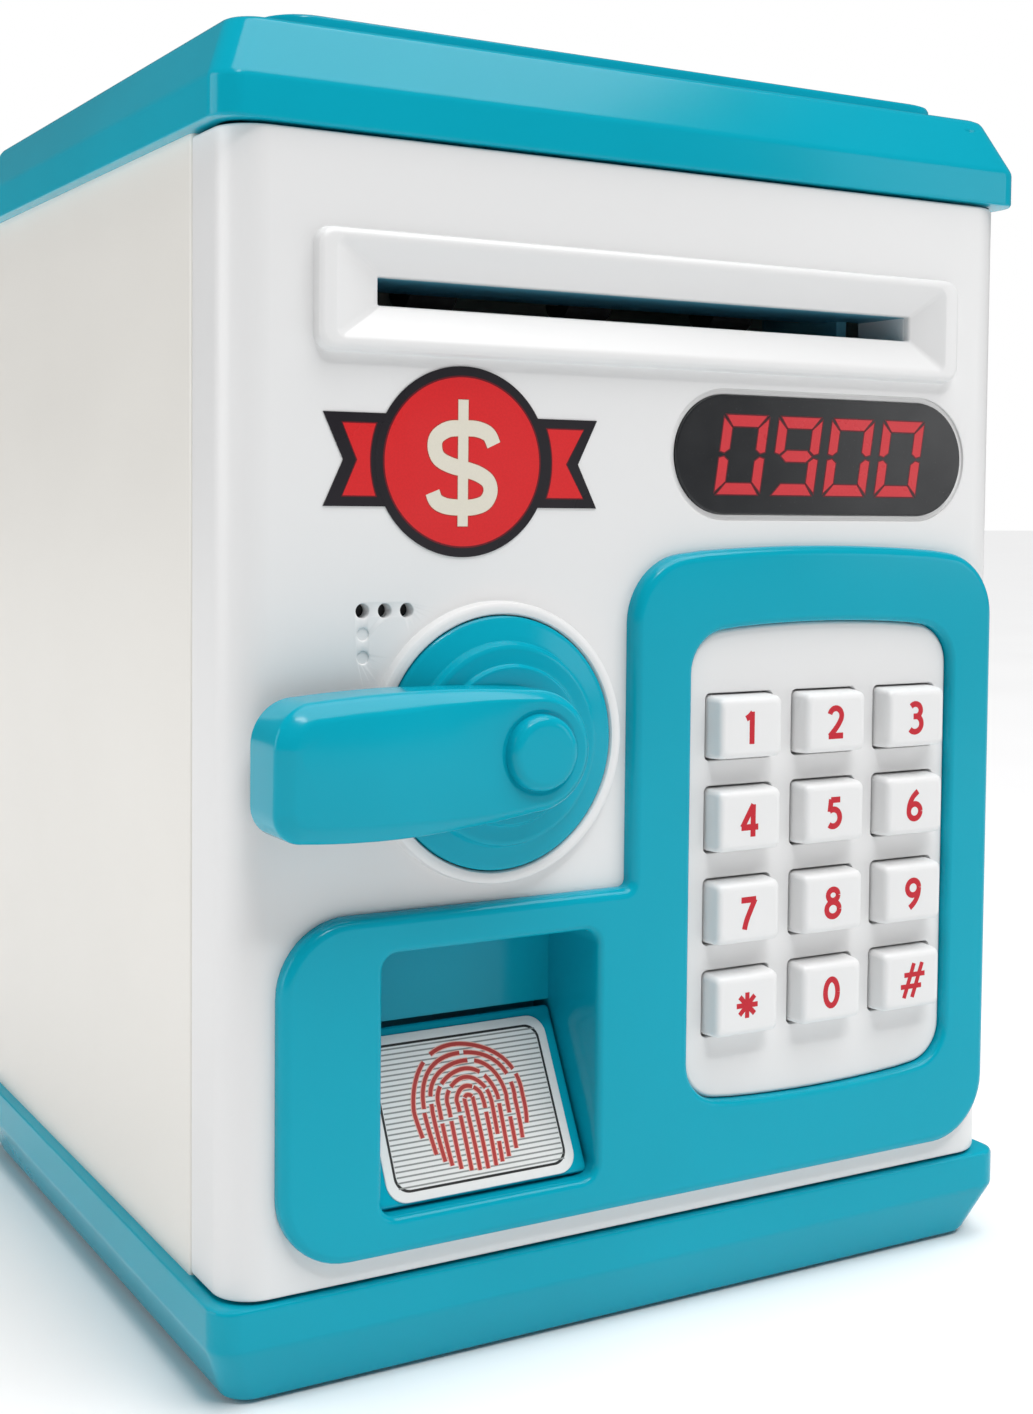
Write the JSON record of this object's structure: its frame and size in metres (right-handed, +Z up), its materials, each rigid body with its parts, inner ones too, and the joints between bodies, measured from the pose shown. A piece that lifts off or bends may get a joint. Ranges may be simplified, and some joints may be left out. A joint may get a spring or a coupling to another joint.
{
  "type": "toy savings bank",
  "caption": "Box-shaped toy savings bank with a hinged front door, lever latch, keypad, sloping finger pad, banknote slot and coin slot in a chamfered lid.",
  "frame": {"origin": "on the surface the bank stands on, under the middle of the whole bank with its lever", "axes": "+Z up, +Y from the door to the back, +X to the right of someone facing the door"},
  "size_m": [0.142, 0.1444, 0.1922],
  "materials": {
    "cream_shell": "satin moulded",
    "teal_plastic": "glossy moulded",
    "foot_rubber": "matt",
    "screw_steel": "plated",
    "sheet_steel": "pressed",
    "white_plastic": "glossy moulded",
    "display_gloss": "glossy print under clear film",
    "badge_print": "printed film",
    "dome_rubber": "matt silicone",
    "board_green": "solder mask",
    "chip_black": "moulded",
    "speaker_black": "satin",
    "coil_black": "taped coil in a frame",
    "inner_plastic": "plain moulded",
    "motor_can": "bright can",
    "cell_wrap": "printed sleeve",
    "contact_metal": "plated spring",
    "key_plastic": "satin moulded",
    "label_print": "printed film",
    "roller_rubber": "ground",
    "pinion_brass": "turned"
  },
  "bodies": {
    "cabinet": {"body_shell": "cream_shell", "base_tray": "teal_plastic", "top_lid": "teal_plastic", "foot_pads": "foot_rubber", "base_screws": "screw_steel", "lid_screws": "screw_steel", "hinge_pins": "screw_steel", "latch_keeper": "sheet_steel"},
    "door": {"door_panel": "white_plastic", "door_back_cover": "cream_shell", "door_cover_screws": "screw_steel", "trim_panel": "teal_plastic", "keypad_plate": "white_plastic", "display_window": "display_gloss", "badge_sticker": "badge_print", "handle_rosette": "teal_plastic", "key_membrane": "dome_rubber", "keypad_board": "board_green", "main_board": "board_green", "board_chips": "chip_black", "board_screws": "screw_steel", "speaker": "speaker_black", "finger_switch": "chip_black", "latch_guide": "inner_plastic", "lock_solenoid": "coil_black", "slot_guide": "teal_plastic", "feed_bracket": "inner_plastic", "feed_motor": "motor_can", "battery_box": "inner_plastic", "batteries": "cell_wrap", "battery_contacts": "contact_metal", "battery_cover": "inner_plastic", "battery_screw": "screw_steel"},
    "handle": {"handle_lever": "teal_plastic", "handle_cap": "teal_plastic", "handle_screw": "screw_steel", "latch_cam": "inner_plastic"},
    "bolt": {"latch_bolt": "sheet_steel"},
    "plunger": {"lock_plunger": "screw_steel"},
    "finger_button": {"finger_pad": "teal_plastic", "finger_label": "label_print"},
    "feed_roller": {"feed_shaft": "screw_steel", "feed_rollers": "roller_rubber", "roller_gear": "inner_plastic"},
    "pinch_roller": {"pinch_shaft": "screw_steel", "pinch_rollers": "inner_plastic"},
    "idler": {"idler_gear": "inner_plastic"},
    "pinion": {"motor_pinion": "pinion_brass"},
    "key_1_body": {"key_1": "key_plastic"},
    "key_2_body": {"key_2": "key_plastic"},
    "key_3_body": {"key_3": "key_plastic"},
    "key_4_body": {"key_4": "key_plastic"},
    "key_5_body": {"key_5": "key_plastic"},
    "key_6_body": {"key_6": "key_plastic"},
    "key_7_body": {"key_7": "key_plastic"},
    "key_8_body": {"key_8": "key_plastic"},
    "key_9_body": {"key_9": "key_plastic"},
    "key_star_body": {"key_star": "key_plastic"},
    "key_0_body": {"key_0": "key_plastic"},
    "key_hash_body": {"key_hash": "key_plastic"}
  },
  "joints": [
    {"name": "door_swing", "type": "hinge", "parent": "cabinet", "child": "door", "pos_m": [0.062, -0.05, 0.095], "axis": [0, 0, 1], "range_deg": [0, 105]},
    {"name": "handle_turn", "type": "hinge", "parent": "door", "child": "handle", "pos_m": [-0.0284, -0.057, 0.0906], "axis": [0, -1, 0], "range_deg": [0, 60]},
    {"name": "bolt_slide", "type": "slide", "parent": "door", "child": "bolt", "axis": [1, 0, 0], "range_m": [0, 0.00801]},
    {"name": "lock_plunger_slide", "type": "slide", "parent": "door", "child": "plunger", "axis": [0, 0, 1], "range_m": [-0.004, 0]},
    {"name": "finger_pad_press", "type": "slide", "parent": "door", "child": "finger_button", "axis": [0, 0.8788, -0.4772], "range_m": [0, 0.0012], "stiffness_N_per_m": 600, "springref_m": -0.0003},
    {"name": "feed_roller_spin", "type": "hinge", "parent": "door", "child": "feed_roller", "pos_m": [0, -0.032, 0.148], "axis": [1, 0, 0], "continuous": true},
    {"name": "pinch_roller_spin", "type": "hinge", "parent": "door", "child": "pinch_roller", "pos_m": [0, -0.032, 0.1583], "axis": [1, 0, 0], "continuous": true},
    {"name": "idler_spin", "type": "hinge", "parent": "door", "child": "idler", "pos_m": [0.048, -0.032, 0.1347], "axis": [1, 0, 0], "continuous": true},
    {"name": "pinion_spin", "type": "hinge", "parent": "door", "child": "pinion", "pos_m": [0.048, -0.032, 0.1244], "axis": [1, 0, 0], "continuous": true},
    {"name": "key_1_press", "type": "slide", "parent": "door", "child": "key_1_body", "axis": [0, 1, 0], "range_m": [0, 0.0012], "stiffness_N_per_m": 500, "springref_m": -0.0003},
    {"name": "key_2_press", "type": "slide", "parent": "door", "child": "key_2_body", "axis": [0, 1, 0], "range_m": [0, 0.0012], "stiffness_N_per_m": 500, "springref_m": -0.0003},
    {"name": "key_3_press", "type": "slide", "parent": "door", "child": "key_3_body", "axis": [0, 1, 0], "range_m": [0, 0.0012], "stiffness_N_per_m": 500, "springref_m": -0.0003},
    {"name": "key_4_press", "type": "slide", "parent": "door", "child": "key_4_body", "axis": [0, 1, 0], "range_m": [0, 0.0012], "stiffness_N_per_m": 500, "springref_m": -0.0003},
    {"name": "key_5_press", "type": "slide", "parent": "door", "child": "key_5_body", "axis": [0, 1, 0], "range_m": [0, 0.0012], "stiffness_N_per_m": 500, "springref_m": -0.0003},
    {"name": "key_6_press", "type": "slide", "parent": "door", "child": "key_6_body", "axis": [0, 1, 0], "range_m": [0, 0.0012], "stiffness_N_per_m": 500, "springref_m": -0.0003},
    {"name": "key_7_press", "type": "slide", "parent": "door", "child": "key_7_body", "axis": [0, 1, 0], "range_m": [0, 0.0012], "stiffness_N_per_m": 500, "springref_m": -0.0003},
    {"name": "key_8_press", "type": "slide", "parent": "door", "child": "key_8_body", "axis": [0, 1, 0], "range_m": [0, 0.0012], "stiffness_N_per_m": 500, "springref_m": -0.0003},
    {"name": "key_9_press", "type": "slide", "parent": "door", "child": "key_9_body", "axis": [0, 1, 0], "range_m": [0, 0.0012], "stiffness_N_per_m": 500, "springref_m": -0.0003},
    {"name": "key_star_press", "type": "slide", "parent": "door", "child": "key_star_body", "axis": [0, 1, 0], "range_m": [0, 0.0012], "stiffness_N_per_m": 500, "springref_m": -0.0003},
    {"name": "key_0_press", "type": "slide", "parent": "door", "child": "key_0_body", "axis": [0, 1, 0], "range_m": [0, 0.0012], "stiffness_N_per_m": 500, "springref_m": -0.0003},
    {"name": "key_hash_press", "type": "slide", "parent": "door", "child": "key_hash_body", "axis": [0, 1, 0], "range_m": [0, 0.0012], "stiffness_N_per_m": 500, "springref_m": -0.0003}
  ],
  "couplings": [
    {"joint": "bolt_slide", "follows": "handle_turn", "m_per_rad": 0.0076394},
    {"joint": "pinch_roller_spin", "follows": "feed_roller_spin", "ratio": -1.5},
    {"joint": "idler_spin", "follows": "feed_roller_spin", "ratio": -0.83333},
    {"joint": "pinion_spin", "follows": "feed_roller_spin", "ratio": 2}
  ]
}
